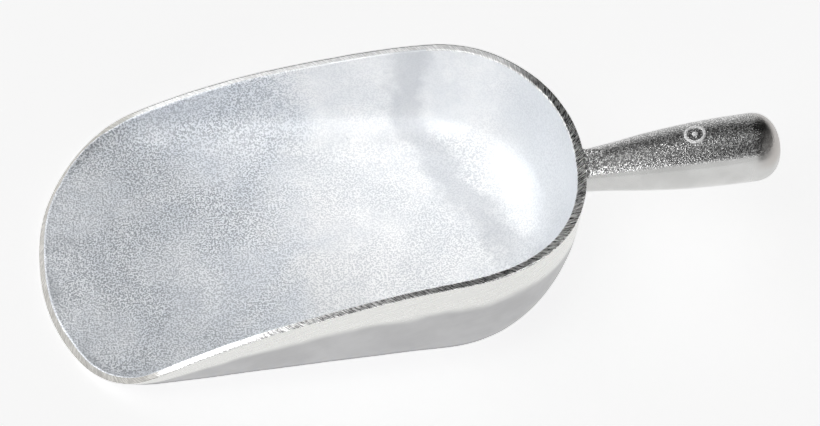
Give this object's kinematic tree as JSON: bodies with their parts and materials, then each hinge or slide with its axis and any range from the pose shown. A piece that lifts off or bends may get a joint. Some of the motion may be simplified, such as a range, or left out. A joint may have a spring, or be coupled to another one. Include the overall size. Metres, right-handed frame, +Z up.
{
  "type": "ice scoop",
  "caption": "One-piece cast metal scoop: deep bowl with a rounded back, sides that sweep down to a flat open lip, and a solid round tapered handle.",
  "frame": {"origin": "on the flat underside that the scoop rests on, in the mirror plane, below the middle of the bowl's length", "axes": "+X from the lip towards the handle, +Z up out of the bowl, +Y to the right of someone who holds the handle and looks towards the lip; y = 0 is the mirror plane"},
  "size_m": [0.3154, 0.1468, 0.0698],
  "materials": {
    "cast_bowl": "sand-cast and satin polished, fine stipple inside, ground rim",
    "cast_handle": "sand-cast stipple, satin tumbled",
    "cast_mark": "raised casting mark, rubbed bright"
  },
  "bodies": {
    "root": {"bowl": "cast_bowl", "handle": "cast_handle", "casting_mark": "cast_mark"}
  },
  "joints": []
}
